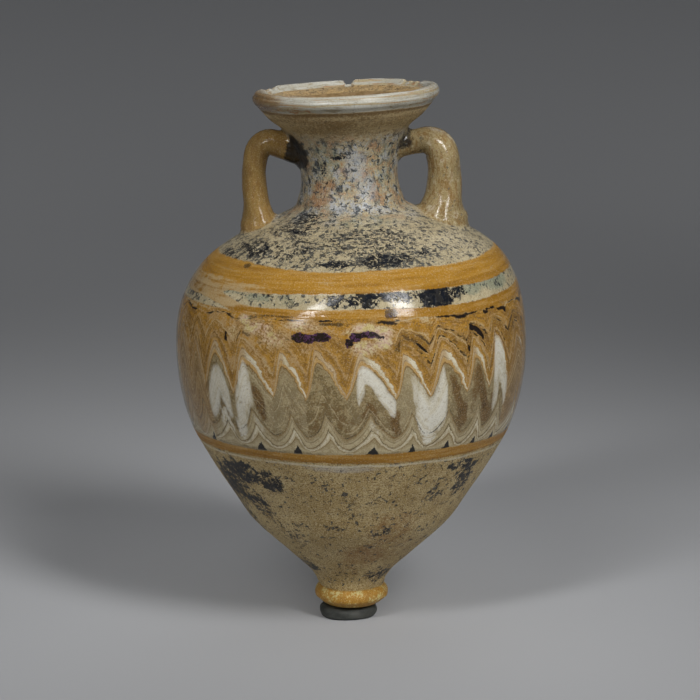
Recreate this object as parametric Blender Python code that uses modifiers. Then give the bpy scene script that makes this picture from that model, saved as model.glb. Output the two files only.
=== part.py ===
# A core-formed glass perfume flask (amphoriskos) that stands upright on a pressed pad of museum putty.
# Metres, +Z up. The origin is on the flask's axis, at the underside of the pad. The front faces -Y.
import math

import bmesh
import bpy
from mathutils import Matrix, Vector

# Putty pad under the knob
PAD_THICKNESS = 0.0023
PAD_RADIUS = 0.0054
PAD_SHIFT = -0.0004         # the lump sits a little to the left of the flask's axis
PAD_BEVEL = 0.0005
PAD_UNEVENNESS_SHARE = 0.035    # swelling of the pressed edge, as a share of the radius
SEAT_GAP = 0.0003           # clearance between the pad and the glass resting on it

# Knob and stem at the pointed end
KNOB_FOOT_RADIUS = 0.0050
KNOB_RADIUS = 0.0072
KNOB_HEIGHT = 0.0036
KNOB_ROUND = 0.0012         # how deep the knob's rounded side is
STEM_RADIUS = 0.0068
STEM_NECKING = 0.0002       # the groove between the knob and the stem
STEM_HEIGHT = 0.0015

# Body, from the top of the stem to the root of the neck
BODY_RADIUS = 0.03335
BODY_HEIGHT = 0.0725
LOWER_BODY_SHARES = [       # share of the height, share of the swelling from the stem's radius
    (0.000, 0.000), (0.030, 0.058), (0.085, 0.217), (0.170, 0.460), (0.250, 0.610),
    (0.335, 0.759), (0.430, 0.898), (0.530, 0.975), (0.630, 1.000),
]
SHOULDER_SHARES = [         # share of the height, share of the way from the neck's foot to the widest part
    (0.725, 0.978), (0.795, 0.914), (0.850, 0.816), (0.890, 0.685), (0.935, 0.453),
    (0.975, 0.158), (1.000, 0.000),
]
BODY_WALL = 0.0031
FLOOR_THICKNESS = 0.0075    # solid glass between the stem and the hollow

# Neck and rim
NECK_RADIUS = 0.0092
NECK_FOOT_RADIUS = 0.0108
NECK_TOP_RADIUS = 0.0117
NECK_HEIGHT = 0.0145        # from the root to where the rim starts to spread
BORE_RADIUS = 0.0057
RIM_RADIUS = 0.0177
RIM_HEIGHT = 0.0076         # from the top of the neck to the crest of the rim
RIM_EDGE = 0.0027           # height of the rounded outer edge
LIP_WIDTH = 0.0012          # from the outer edge in to the crest
LIP_DEPTH = 0.0010          # the step from the crest down to the funnel
FUNNEL_DEPTH = 0.0065       # from that step down to the bore

# The hand-made lean of shoulder, neck and rim, to the left and a little forward
LEAN_ANGLE = math.radians(2.8)
LEAN_BEARING = math.radians(200)
LEAN_BELOW_NECK = 0.0242    # the lean starts in the shoulder, this far under the neck's root
LEAN_LENGTH = 0.020         # height over which it comes in
NECK_SHIFT = 0.0006         # the neck's root sits this far back along the lean

# Handles, drawn from the neck to the shoulder
HANDLE_TOP = 0.0113         # height of a handle's start above the neck's root
HANDLE_EMBED = 0.0016       # how far each end reaches into the wall
HANDLE_FLATNESS_RATIO = 1.25    # width from front to back over thickness
LEFT_REACH = 0.0179
LEFT_FOOT = 0.0181
LEFT_RISE = 0.0011
LEFT_NECK_THICKNESS = 0.0052
LEFT_THICKNESS = 0.0046
LEFT_FOOT_THICKNESS = 0.0056
RIGHT_REACH = 0.0179
RIGHT_FOOT = 0.0178
RIGHT_RISE = 0.0001
RIGHT_NECK_THICKNESS = 0.0046
RIGHT_THICKNESS = 0.0063
RIGHT_FOOT_THICKNESS = 0.0084

# Chips in the crest of the rim
NOTCH_LENGTH = 0.0021
NOTCH_DEPTH = 0.0008
NOTCH_BEARING = math.radians(88)
CHIP_LENGTH = 0.0080
CHIP_DEPTH = 0.0007
RIGHT_CHIP_BEARING = math.radians(36)
LEFT_CHIP_BEARING = math.radians(153)

# Fineness of the facets
TURN_STEPS = 52
PAD_CORNERS = 28
CANE_RESOLUTION = 4
MERGE = 0.00001

KNOB_BASE = PAD_THICKNESS + SEAT_GAP
STEM_BASE = KNOB_BASE + KNOB_HEIGHT
BODY_BASE = STEM_BASE + STEM_HEIGHT
NECK_ROOT = BODY_BASE + BODY_HEIGHT
NECK_TOP = NECK_ROOT + NECK_HEIGHT
RIM_TOP = NECK_TOP + RIM_HEIGHT
LEAN_START = NECK_ROOT - LEAN_BELOW_NECK


def through(points, per_span):
    # a smooth curve through the points, per_span straight pieces between each two
    padded = [points[0]] + list(points) + [points[-1]]
    made = []
    for a, b, c, d in zip(padded, padded[1:], padded[2:], padded[3:]):
        for i in range(per_span):
            t = i / per_span
            made.append(tuple(
                0.5 * (2 * q + (r - p) * t + (2 * p - 5 * q + 4 * r - s) * t * t
                       + (3 * q - p - 3 * r + s) * t ** 3)
                for p, q, r, s in zip(a, b, c, d)))
    return made + [tuple(points[-1])]


def arc(centre, radii, start, end, pieces):
    # points on an elliptical arc, in degrees from +radius towards +height
    made = []
    for i in range(pieces + 1):
        angle = math.radians(start + (end - start) * i / pieces)
        made.append((centre[0] + radii[0] * math.cos(angle), centre[1] + radii[1] * math.sin(angle)))
    return made


def body_outline():
    # the outer side of the body as (radius, height), from the stem up to the neck
    lower = [(STEM_RADIUS + share * (BODY_RADIUS - STEM_RADIUS), BODY_BASE + height * BODY_HEIGHT)
             for height, share in LOWER_BODY_SHARES]
    upper = [(NECK_FOOT_RADIUS + share * (BODY_RADIUS - NECK_FOOT_RADIUS), BODY_BASE + height * BODY_HEIGHT)
             for height, share in SHOULDER_SHARES]
    return through(lower + upper, 2)


def hollow_outline():
    # the wall of the body's hollow as (radius, height): the outer side moved into the glass by the wall
    outline = [Vector(p) for p in body_outline()]
    made = []
    for before, here, after in zip(outline, outline[1:], outline[2:]):
        along = (after - before).normalized()
        moved = here + BODY_WALL * Vector((-along.y, along.x))
        if moved.y > BODY_BASE + FLOOR_THICKNESS and moved.x > BORE_RADIUS:
            made.append(tuple(moved))
    return made[::2]


def neck_radius(height):
    # radius of the neck's outer side at a height between its root and the rim
    share = (height - NECK_ROOT) / NECK_HEIGHT
    foot = max(0, 1 - share / 0.38) ** 2
    flare = max(0, share / 0.55 - 0.45 / 0.55) ** 2
    return NECK_RADIUS + foot * (NECK_FOOT_RADIUS - NECK_RADIUS) + flare * (NECK_TOP_RADIUS - NECK_RADIUS)


def shoulder_at(radius):
    # height of the body's outer side at a radius on the shoulder, and the direction square into the wall
    widest = BODY_BASE + LOWER_BODY_SHARES[-1][0] * BODY_HEIGHT
    outline = [Vector(p) for p in body_outline() if p[1] >= widest]
    for lower, upper in zip(outline, outline[1:]):
        if upper.x <= radius <= lower.x:
            along = (upper - lower).normalized()
            return lower.lerp(upper, (lower.x - radius) / (lower.x - upper.x)).y, Vector((-along.y, along.x))
    return NECK_ROOT, Vector((0, -1))


def flask_profile():
    # (radius, height) from the bottom of the hollow up to the mouth, over the rim and down the outer side
    hollow = hollow_outline()
    hollow_floor = BODY_BASE + FLOOR_THICKNESS
    floor = arc((0, hollow[0][1]), (hollow[0][0], hollow[0][1] - hollow_floor), -90, 0, 3)[:-1]
    lip_inside = RIM_RADIUS - 2 * LIP_WIDTH
    funnel_top = RIM_TOP - LIP_DEPTH
    spread = lip_inside - BORE_RADIUS
    funnel = through([
        (BORE_RADIUS, funnel_top - FUNNEL_DEPTH),
        (BORE_RADIUS + 0.18 * spread, funnel_top - 0.62 * FUNNEL_DEPTH),
        (BORE_RADIUS + 0.55 * spread, funnel_top - 0.24 * FUNNEL_DEPTH),
        (lip_inside, funnel_top),
    ], 2)
    bore_foot = (BORE_RADIUS, hollow[-1][1] + 0.5 * BODY_WALL)
    lip = [(lip_inside + 0.4 * LIP_WIDTH, RIM_TOP - 0.25 * LIP_DEPTH)]
    edge = arc((RIM_RADIUS - LIP_WIDTH, RIM_TOP - RIM_EDGE / 2), (LIP_WIDTH, RIM_EDGE / 2), 90, -60, 6)
    neck = [(neck_radius(NECK_ROOT + share * NECK_HEIGHT), NECK_ROOT + share * NECK_HEIGHT)
            for share in (1.0, 0.8, 0.6, 0.4, 0.25, 0.12)]
    meeting = (0.5 * (edge[-1][0] + neck[0][0]), 0.42 * edge[-1][1] + 0.58 * neck[0][1])
    under_rim = through([edge[-1], meeting, neck[0]], 2)[1:-1]
    knob_side = (KNOB_RADIUS - KNOB_ROUND, KNOB_BASE + 0.58 * KNOB_HEIGHT)
    knob = arc(knob_side, (KNOB_ROUND, 0.42 * KNOB_HEIGHT), 80, -20, 4)
    knob_foot = [
        (KNOB_FOOT_RADIUS + 0.5 * KNOB_ROUND, KNOB_BASE + 0.1 * KNOB_HEIGHT),
        (KNOB_FOOT_RADIUS, KNOB_BASE),
    ]
    groove = (STEM_RADIUS - STEM_NECKING, STEM_BASE + 0.4 * STEM_HEIGHT)
    return (floor + hollow + [bore_foot] + funnel + lip + edge + under_rim + neck
            + body_outline()[::-1] + [groove] + knob + knob_foot + [(0, KNOB_BASE)])


def leaned(point):
    # moves a point of the upright flask to where the lean puts it
    share = min(1, max(0, (point.z - LEAN_START) / LEAN_LENGTH))
    eased = share * share * (3 - 2 * share)
    curved = LEAN_LENGTH * (share ** 3 - share ** 4 / 2)
    risen = max(0, point.z - LEAN_START - LEAN_LENGTH)
    aside = math.tan(LEAN_ANGLE) * (curved + risen) - NECK_SHIFT * eased
    towards = Vector((math.cos(LEAN_BEARING), math.sin(LEAN_BEARING), 0))
    tipped = Matrix.Rotation(LEAN_ANGLE * eased, 3, Vector((0, 0, 1)).cross(towards))
    middle = Vector((0, 0, point.z))
    return middle + tipped @ (point - middle) + aside * towards


def as_mesh(obj, collection):
    # replaces an object by the plain mesh that its modifiers or bevel make
    graph = bpy.context.evaluated_depsgraph_get()
    mesh = bpy.data.meshes.new_from_object(obj.evaluated_get(graph))
    plain = bpy.data.objects.new(obj.name, mesh)
    plain.matrix_world = obj.matrix_world.copy()
    name = obj.name
    bpy.data.objects.remove(obj)
    plain.name = name
    collection.objects.link(plain)
    edit = bmesh.new()
    edit.from_mesh(mesh)
    bmesh.ops.remove_doubles(edit, verts=edit.verts, dist=MERGE)
    bmesh.ops.recalc_face_normals(edit, faces=edit.faces)
    edit.to_mesh(mesh)
    edit.free()
    return plain


def material(name, colour, roughness):
    made = bpy.data.materials.new(name)
    made.use_nodes = True
    shader = made.node_tree.nodes["Principled BSDF"]
    shader.inputs["Base Color"].default_value = (*colour, 1)
    shader.inputs["Roughness"].default_value = roughness
    shader.inputs["Metallic"].default_value = 0
    return made


def turned(name, profile, collection):
    # a body of revolution from a profile that starts and ends on the axis
    mesh = bpy.data.meshes.new(name)
    points = [(radius, 0, height) for radius, height in profile]
    mesh.from_pydata(points, [(i, i + 1) for i in range(len(points) - 1)], [])
    obj = bpy.data.objects.new(name, mesh)
    collection.objects.link(obj)
    screw = obj.modifiers.new("Turn", "SCREW")
    screw.steps = TURN_STEPS
    screw.render_steps = TURN_STEPS
    screw.use_merge_vertices = True
    screw.merge_threshold = MERGE
    bpy.context.view_layer.update()
    return as_mesh(obj, collection)


def handle(name, side, reach, foot, rise, thicknesses, collection):
    # a glass cane that leaves the neck, turns down and lands on the shoulder; side is -1 for left
    start = NECK_ROOT + HANDLE_TOP
    landing, inward = shoulder_at(foot)
    drop = start - landing
    neck_side = neck_radius(start)
    out = reach - neck_side
    at_neck, waist, at_foot = (thickness / 2 for thickness in thicknesses)
    path = [        # distance from the axis, height, radius of the cane
        (neck_side - HANDLE_EMBED, start, at_neck),
        (neck_side + 0.30 * out, start + 0.6 * rise, at_neck),
        (neck_side + 0.62 * out, start + rise, 0.6 * at_neck + 0.4 * waist),
        (neck_side + 0.87 * out, start + 0.8 * rise - 0.08 * drop, 0.2 * at_neck + 0.8 * waist),
        (neck_side + 0.99 * out, start - 0.24 * drop, waist),
        (reach, start - 0.44 * drop, waist),
        (0.5 * (reach + foot), start - 0.68 * drop, 0.8 * waist + 0.2 * at_foot),
        (foot, landing + 0.12 * drop, 0.35 * waist + 0.65 * at_foot),
        (foot, landing, at_foot),
        (foot + inward.x * HANDLE_EMBED, landing + inward.y * HANDLE_EMBED, at_foot),
    ]
    points = through(path, 2)
    data = bpy.data.curves.new(name, "CURVE")
    data.dimensions = "3D"
    data.bevel_depth = 1
    data.bevel_resolution = CANE_RESOLUTION
    data.use_fill_caps = True
    spline = data.splines.new("POLY")
    spline.points.add(len(points) - 1)
    for slot, (distance, height, radius) in zip(spline.points, points):
        slot.co = (side * distance, 0, height, 1)
        slot.radius = radius
    obj = bpy.data.objects.new(name, data)
    obj.scale = (1, HANDLE_FLATNESS_RATIO, 1)
    collection.objects.link(obj)
    bpy.context.view_layer.update()
    plain = as_mesh(obj, collection)
    plain.data.transform(plain.matrix_world)
    plain.matrix_world.identity()
    return plain


def chip_cutter(name, bearing, length, depth, collection):
    # a long ball whose lower side bites into the crest of the rim
    mesh = bpy.data.meshes.new(name)
    ball = bmesh.new()
    bmesh.ops.create_icosphere(ball, subdivisions=2, radius=1)
    height = max(2 * depth, 0.3 * length)
    width = max(2.2 * LIP_WIDTH, 0.35 * length)
    bmesh.ops.scale(ball, verts=ball.verts, vec=(width, 0.6 * length, height))
    ball.to_mesh(mesh)
    ball.free()
    obj = bpy.data.objects.new(name, mesh)
    crest = RIM_RADIUS - LIP_WIDTH
    upright = Vector((crest * math.cos(bearing), crest * math.sin(bearing), RIM_TOP + height - depth))
    obj.location = leaned(upright)
    obj.rotation_euler.z = bearing
    collection.objects.link(obj)
    return obj


def build_flask(parts, helpers):
    flask = turned("flask", flask_profile(), parts)
    left_sizes = (LEFT_NECK_THICKNESS, LEFT_THICKNESS, LEFT_FOOT_THICKNESS)
    right_sizes = (RIGHT_NECK_THICKNESS, RIGHT_THICKNESS, RIGHT_FOOT_THICKNESS)
    left = handle("left_handle_cane", -1, LEFT_REACH, LEFT_FOOT, LEFT_RISE, left_sizes, helpers)
    right = handle("right_handle_cane", 1, RIGHT_REACH, RIGHT_FOOT, RIGHT_RISE, right_sizes, helpers)
    for piece in (flask, left, right):
        for vertex in piece.data.vertices:
            vertex.co = leaned(vertex.co)
    chips = [
        chip_cutter("rim_notch", NOTCH_BEARING, NOTCH_LENGTH, NOTCH_DEPTH, helpers),
        chip_cutter("rim_chip_right", RIGHT_CHIP_BEARING, CHIP_LENGTH, CHIP_DEPTH, helpers),
        chip_cutter("rim_chip_left", LEFT_CHIP_BEARING, CHIP_LENGTH, CHIP_DEPTH, helpers),
    ]
    for helper in [left, right] + chips:
        step = flask.modifiers.new(helper.name, "BOOLEAN")
        step.operation = "DIFFERENCE" if helper in chips else "UNION"
        step.object = helper
        helper.hide_render = True
        helper.display_type = "WIRE"
    flask.data.shade_smooth()
    flask.data.set_sharp_from_angle(angle=math.radians(35))
    flask.data.materials.append(material("weathered_glass", (0.53, 0.42, 0.26), 0.45))
    return flask


def build_pad(parts):
    # a flat disc with softened edges and a hand-pressed, uneven outline
    mesh = bpy.data.meshes.new("putty_pad")
    disc = bmesh.new()
    bmesh.ops.create_cone(disc, cap_ends=True, segments=PAD_CORNERS, radius1=PAD_RADIUS, radius2=PAD_RADIUS,
                          depth=PAD_THICKNESS)
    for vertex in disc.verts:
        bearing = math.atan2(vertex.co.y, vertex.co.x)
        uneven = 1 + PAD_UNEVENNESS_SHARE * (math.cos(2 * bearing - 0.6) + 0.6 * math.cos(3 * bearing + 1.1))
        vertex.co.x *= uneven
        vertex.co.y *= uneven
        vertex.co.z += PAD_THICKNESS / 2
    disc.to_mesh(mesh)
    disc.free()
    pad = bpy.data.objects.new("putty_pad", mesh)
    pad.location.x = PAD_SHIFT
    parts.objects.link(pad)
    soften = pad.modifiers.new("Soften", "BEVEL")
    soften.width = PAD_BEVEL
    soften.segments = 2
    soften.limit_method = "ANGLE"
    soften.angle_limit = math.radians(50)
    mesh.shade_smooth()
    mesh.materials.append(material("museum_putty", (0.045, 0.048, 0.045), 0.6))
    return pad


def new_collection(name):
    made = bpy.data.collections.new(name)
    bpy.context.scene.collection.children.link(made)
    return made


for old in list(bpy.data.objects):
    bpy.data.objects.remove(old)
flask_parts = new_collection("glass_perfume_flask")
shaping_helpers = new_collection("shaping_helpers")
build_flask(flask_parts, shaping_helpers)
build_pad(flask_parts)
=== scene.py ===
# Core-formed glass perfume flask, upright on its lump of putty.
# The glass is modelled in millimetres standing straight, painted there, and only then leaned like the real one.
import math

import bmesh
import bpy
import numpy as np
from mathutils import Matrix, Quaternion, Vector


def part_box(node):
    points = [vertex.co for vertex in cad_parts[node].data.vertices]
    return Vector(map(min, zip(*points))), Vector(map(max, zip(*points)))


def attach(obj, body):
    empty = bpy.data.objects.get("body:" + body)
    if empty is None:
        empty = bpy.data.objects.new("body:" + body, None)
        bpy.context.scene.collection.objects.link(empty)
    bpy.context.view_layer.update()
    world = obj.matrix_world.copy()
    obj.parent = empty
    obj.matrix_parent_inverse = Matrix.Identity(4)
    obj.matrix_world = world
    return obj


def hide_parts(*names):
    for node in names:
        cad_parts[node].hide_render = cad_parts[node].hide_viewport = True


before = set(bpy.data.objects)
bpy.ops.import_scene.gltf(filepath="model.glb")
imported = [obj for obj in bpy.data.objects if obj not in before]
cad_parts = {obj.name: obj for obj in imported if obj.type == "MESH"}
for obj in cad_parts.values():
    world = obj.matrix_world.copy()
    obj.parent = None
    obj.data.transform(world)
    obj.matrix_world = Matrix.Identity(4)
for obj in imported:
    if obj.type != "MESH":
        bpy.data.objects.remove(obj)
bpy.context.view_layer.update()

mm = 0.001
random = np.random.default_rng(7)


# small helpers

def ink(red, green, blue):
    # a colour as the eye reads it, 0 to 255, turned into light
    return tuple(round(pow((c / 255 + 0.055) / 1.055, 2.4) if c > 10 else c / 3295, 5)
                 for c in (red, green, blue))


def ease(low, high, value):
    # 0 below low, 1 above high, smooth between
    t = np.clip((value - low) / (high - low), 0, 1)
    return t * t * (3 - 2 * t)


def smoothCurve(points, gap):
    # a curve through the points, cut into steps of about gap
    points = np.array(points, float)
    padded = np.vstack([points[0], points, points[-1]])
    t = np.linspace(0, 1, 24, endpoint=False)[:, None]
    fine = []
    for a, b, c, d in zip(padded, padded[1:], padded[2:], padded[3:]):
        fine.append(0.5 * (2 * b + (c - a) * t + (2 * a - 5 * b + 4 * c - d) * t ** 2
                           + (3 * b - a - 3 * c + d) * t ** 3))
    fine = np.vstack(fine + [points[-1:]])
    along = np.r_[0, np.cumsum(np.linalg.norm(np.diff(fine, axis=0), axis=1))]
    steps = np.linspace(0, along[-1], max(2, int(round(along[-1] / gap)) + 1))
    return np.column_stack([np.interp(steps, along, fine[:, i]) for i in range(fine.shape[1])])


def arc(centre, radii, start, end, count):
    angle = np.radians(np.linspace(start, end, count))
    return np.column_stack([centre[0] + radii[0] * np.cos(angle), centre[1] + radii[1] * np.sin(angle)])


def meshObject(name, points, faces):
    mesh = bpy.data.meshes.new(name)
    mesh.from_pydata([tuple(p) for p in points], [], faces)
    mesh.shade_smooth()
    obj = bpy.data.objects.new(name, mesh)
    bpy.context.scene.collection.objects.link(obj)
    return obj


# the glass: sizes in mm, a hair smaller than the solid it replaces, so that it stays inside that solid's box

glass = {
    "base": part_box("flask")[0][2] / mm,
    "around": 288, "rowGap": 0.6, "fineGap": 0.4, "hiddenGap": 3.0,
    "knobFoot": 5.0, "knob": 7.2, "knobTall": 3.6, "knobRound": 1.2,
    "stem": 6.8, "stemTall": 1.5, "groove": 0.35,
    "body": 33.33, "bodyTall": 72.5, "wall": 3.1, "floor": 7.5,
    "lower": [(0.0, 0.0), (0.03, 0.058), (0.085, 0.217), (0.17, 0.46), (0.25, 0.61),
              (0.335, 0.759), (0.43, 0.898), (0.53, 0.975), (0.63, 1.0)],
    "shoulder": [(0.725, 0.978), (0.795, 0.914), (0.85, 0.816), (0.89, 0.685), (0.935, 0.453),
                 (0.975, 0.158), (1.0, 0.0)],
    "neck": 9.2, "neckFoot": 10.8, "neckTop": 11.7, "neckTall": 14.5, "bore": 5.7,
    "rim": 17.65, "rimTall": 7.6, "rimEdge": 2.7, "lip": 1.2, "lipDeep": 1.0, "funnelDeep": 6.5,
    "lean": math.radians(2.8), "leanBearing": math.radians(200), "leanBelowNeck": 24.2,
    "leanLength": 20.0, "neckShift": 0.6,
}
knobTop = glass["base"] + glass["knobTall"]
bodyBase = knobTop + glass["stemTall"]
edgeRows = 20
neckRoot = bodyBase + glass["bodyTall"]
neckTop = neckRoot + glass["neckTall"]
rimTop = neckTop + glass["rimTall"]


def bodyStations():
    g = glass
    lower = [(g["stem"] + s * (g["body"] - g["stem"]), bodyBase + h * g["bodyTall"]) for h, s in g["lower"]]
    upper = [(g["neckFoot"] + s * (g["body"] - g["neckFoot"]), bodyBase + h * g["bodyTall"])
             for h, s in g["shoulder"]]
    return lower + upper


def neckRadius(height):
    share = (height - neckRoot) / glass["neckTall"]
    foot = np.maximum(0, 1 - share / 0.38) ** 2
    flare = np.maximum(0, share / 0.55 - 0.45 / 0.55) ** 2
    return glass["neck"] + foot * (glass["neckFoot"] - glass["neck"]) + flare * (glass["neckTop"] - glass["neck"])


def outerSide():
    # (radius, height) from the crest of the rim down to the middle of the base
    g = glass
    edge = arc((g["rim"] - g["lip"], rimTop - g["rimEdge"] / 2), (g["lip"], g["rimEdge"] / 2), 90, -60, edgeRows)
    neck = [(neckRadius(h), h) for h in neckRoot + g["neckTall"] * np.array([1.0, 0.8, 0.6, 0.4, 0.25, 0.12])]
    meeting = (0.5 * (edge[-1][0] + neck[0][0]), 0.42 * edge[-1][1] + 0.58 * neck[0][1])
    side = smoothCurve([edge[-1], meeting] + neck + bodyStations()[::-1], g["rowGap"])
    groove = [(g["stem"] - 0.1, bodyBase - 0.45), (g["stem"] - g["groove"], knobTop + 0.35)]
    knob = arc((g["knob"] - g["knobRound"], g["base"] + 0.58 * g["knobTall"]),
               (g["knobRound"], 0.42 * g["knobTall"]), 80, -25, 9)
    foot = smoothCurve([knob[-1], (g["knobFoot"] + 0.6, g["base"] + 0.3), (g["knobFoot"] - 0.2, g["base"]),
                        (2.0, g["base"])], 0.7)
    return np.vstack([edge, side[1:], groove, knob, foot[1:], [(0, g["base"])]])


def innerSide():
    # (radius, height) from the floor of the hollow up to just inside the crest of the rim
    g = glass
    outline = smoothCurve(bodyStations(), g["hiddenGap"])
    along = outline[2:] - outline[:-2]
    along /= np.linalg.norm(along, axis=1)[:, None]
    moved = outline[1:-1] + g["wall"] * np.column_stack([-along[:, 1], along[:, 0]])
    hollow = moved[(moved[:, 1] > bodyBase + g["floor"]) & (moved[:, 0] > g["bore"])]
    floor = arc((0, hollow[0][1]), (hollow[0][0], hollow[0][1] - bodyBase - g["floor"]), -90, 0, 6)[:-1]
    lipInside = g["rim"] - 2 * g["lip"]
    top = rimTop - g["lipDeep"]
    spread = lipInside - g["bore"]
    funnel = smoothCurve([(g["bore"], top - g["funnelDeep"]),
                          (g["bore"] + 0.18 * spread, top - 0.62 * g["funnelDeep"]),
                          (g["bore"] + 0.55 * spread, top - 0.24 * g["funnelDeep"]),
                          (lipInside, top)], g["rowGap"])
    bore = smoothCurve([(g["bore"], hollow[-1][1] + g["wall"] / 2), (g["bore"], top - g["funnelDeep"])], 1.6)
    lip = smoothCurve([(lipInside, top), (lipInside + 0.4 * g["lip"], rimTop - 0.25 * g["lipDeep"]),
                       (g["rim"] - g["lip"], rimTop)], g["fineGap"])
    return np.vstack([floor, hollow, bore[:-1], funnel[:-1], lip[:-1]])


# the combed threads: the tool pulled the soft threads up at the peaks and down at the valleys

combing = {
    "peaks": [-60, -49, -37, -23, -11.5, 2.5, 16, 29.5, 42, 53, 68],       # degrees right of the front, high up
    "valleys": [-54, -40, -25, -14, -1.5, 14.5, 25.5, 39.5, 49.5, 61],
    "strokes": 28, "drift": 4.3,                                           # the peaks drift right going down
    "high": 58.3, "low": 43.6,                                             # where those bearings were read
    # how far a valley pulls down the thread that lay at each level
    "pulled": [(64.0, 0.0), (58.3, 8.3), (55.3, 6.2), (43.3, 4.1), (38.8, 0.0)],
    "pointed": 1.5, "rounded": 1.8, "sag": (56.0, 43.0),
}


def combLines():
    # bearings of every peak and valley, the unseen ones spaced out
    peaks, valleys = list(combing["peaks"]), list(combing["valleys"])
    missing = combing["strokes"] - len(peaks)
    step = (360 - (peaks[-1] - peaks[0])) / (missing + 1)
    first = peaks[-1]
    for i in range(missing):
        peaks.append(first + step * (i + 1) + random.uniform(-1.2, 1.2))
    full = peaks + [peaks[0] + 360]
    for a, b in zip(full[len(valleys):], full[len(valleys) + 1:]):
        valleys.append(a + random.uniform(0.62, 0.8) * (b - a))
    return np.array(peaks), np.array(valleys)


peakLines, valleyLines = combLines()


def strokeAt(bearing, height):
    # a number that is whole on each peak and ends in a half in each valley; bearing in degrees right of the front
    turned = np.where(bearing < valleyLines[-1] - 360, bearing + 360, bearing)
    turned = np.where(turned >= valleyLines[-1], turned - 360, turned)
    edges = np.r_[valleyLines[-1] - 360, valleyLines]
    cell = np.clip(np.searchsorted(edges, turned, side="right") - 1, 0, len(peakLines) - 1)
    down = np.clip((combing["high"] - height) / (combing["high"] - combing["low"]), -0.4, 1.2)
    left, right = edges[cell], edges[cell + 1]
    peak = peakLines[cell] + combing["drift"] * down
    peak = np.clip(peak, left + 1.0, right - 1.0)
    rising = 0.5 * (turned - left) / (peak - left) - 0.5
    falling = 0.5 * (turned - peak) / (right - peak)
    return cell + np.where(turned < peak, rising, falling)


def levelAt(stroke, height):
    # height that the thread at this point had before it was combed, worked out as the finish does
    c = combing
    valley = np.abs(stroke - np.round(stroke)) * 2
    sagging = ease(*c["sag"], height)
    pull = valley ** c["pointed"] * (1 - sagging) + (1 - (1 - valley) ** c["rounded"]) * sagging
    level = height
    for (upper, deepUpper), (lower, deepLower) in zip(c["pulled"], c["pulled"][1:]):
        slope = (deepLower - deepUpper) / (upper - lower)
        here = (height + pull * (deepUpper + slope * upper)) / np.maximum(0.05, 1 + pull * slope)
        level = np.where(height < upper - pull * deepUpper, here, level)
    bottom = c["pulled"][-1][0]
    return np.where(height < bottom, height, level)


# dents and waves that working by hand left

wear = {
    "notch": (88, 3.7, 0.8), "chips": [(36, 12, 0.45), (153, 11, 0.4)],    # bearing, half width in degrees, depth
    "waves": [(2, 0.03, 0.05), (3, 0.06, 0.04), (5, 0.11, 0.03), (9, 0.2, 0.018)],   # round, up, size
    "rimUp": [(2, 0.10, 0.7), (5, 0.06, 2.0), (11, 0.03, 0)],              # round, size, phase
    "rimOut": [(3, 0.10, 0.4), (7, 0.05, 0)],
    "inward": 0.09, "peakDent": 0.10, "valleyDent": 0.06,                  # how far the skin lies in
    "coil": 0.16, "coilHalf": 0.22,                                        # the line between two turns of the rim
}
wavePhases = random.uniform(0, 2 * math.pi, (len(wear["waves"]), 2))


def ripple(angle, waves):
    return sum(size * np.sin(turns * angle + phase) for turns, size, phase in waves)


def handWaves(angle, height):
    total = 0
    for (turns, rise, size), (a, b) in zip(wear["waves"], wavePhases):
        total = total + size * np.sin(turns * angle + a) * np.cos(rise * height * math.pi + b)
    return total


def crestDrop(angle):
    # how far the crest of the rim has broken away, angle in degrees from +X towards the back
    centre, half, depth = wear["notch"]
    off = np.abs((angle - centre + 180) % 360 - 180)
    drop = depth * ease(half, 0.55 * half, off)
    for centre, half, depth in wear["chips"]:
        off = np.abs((angle - centre + 180) % 360 - 180)
        ragged = 0.8 + 0.2 * np.sin(angle * 0.9)
        drop = np.maximum(drop, depth * ragged * ease(half, 0.7 * half, off))
    return drop


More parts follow.
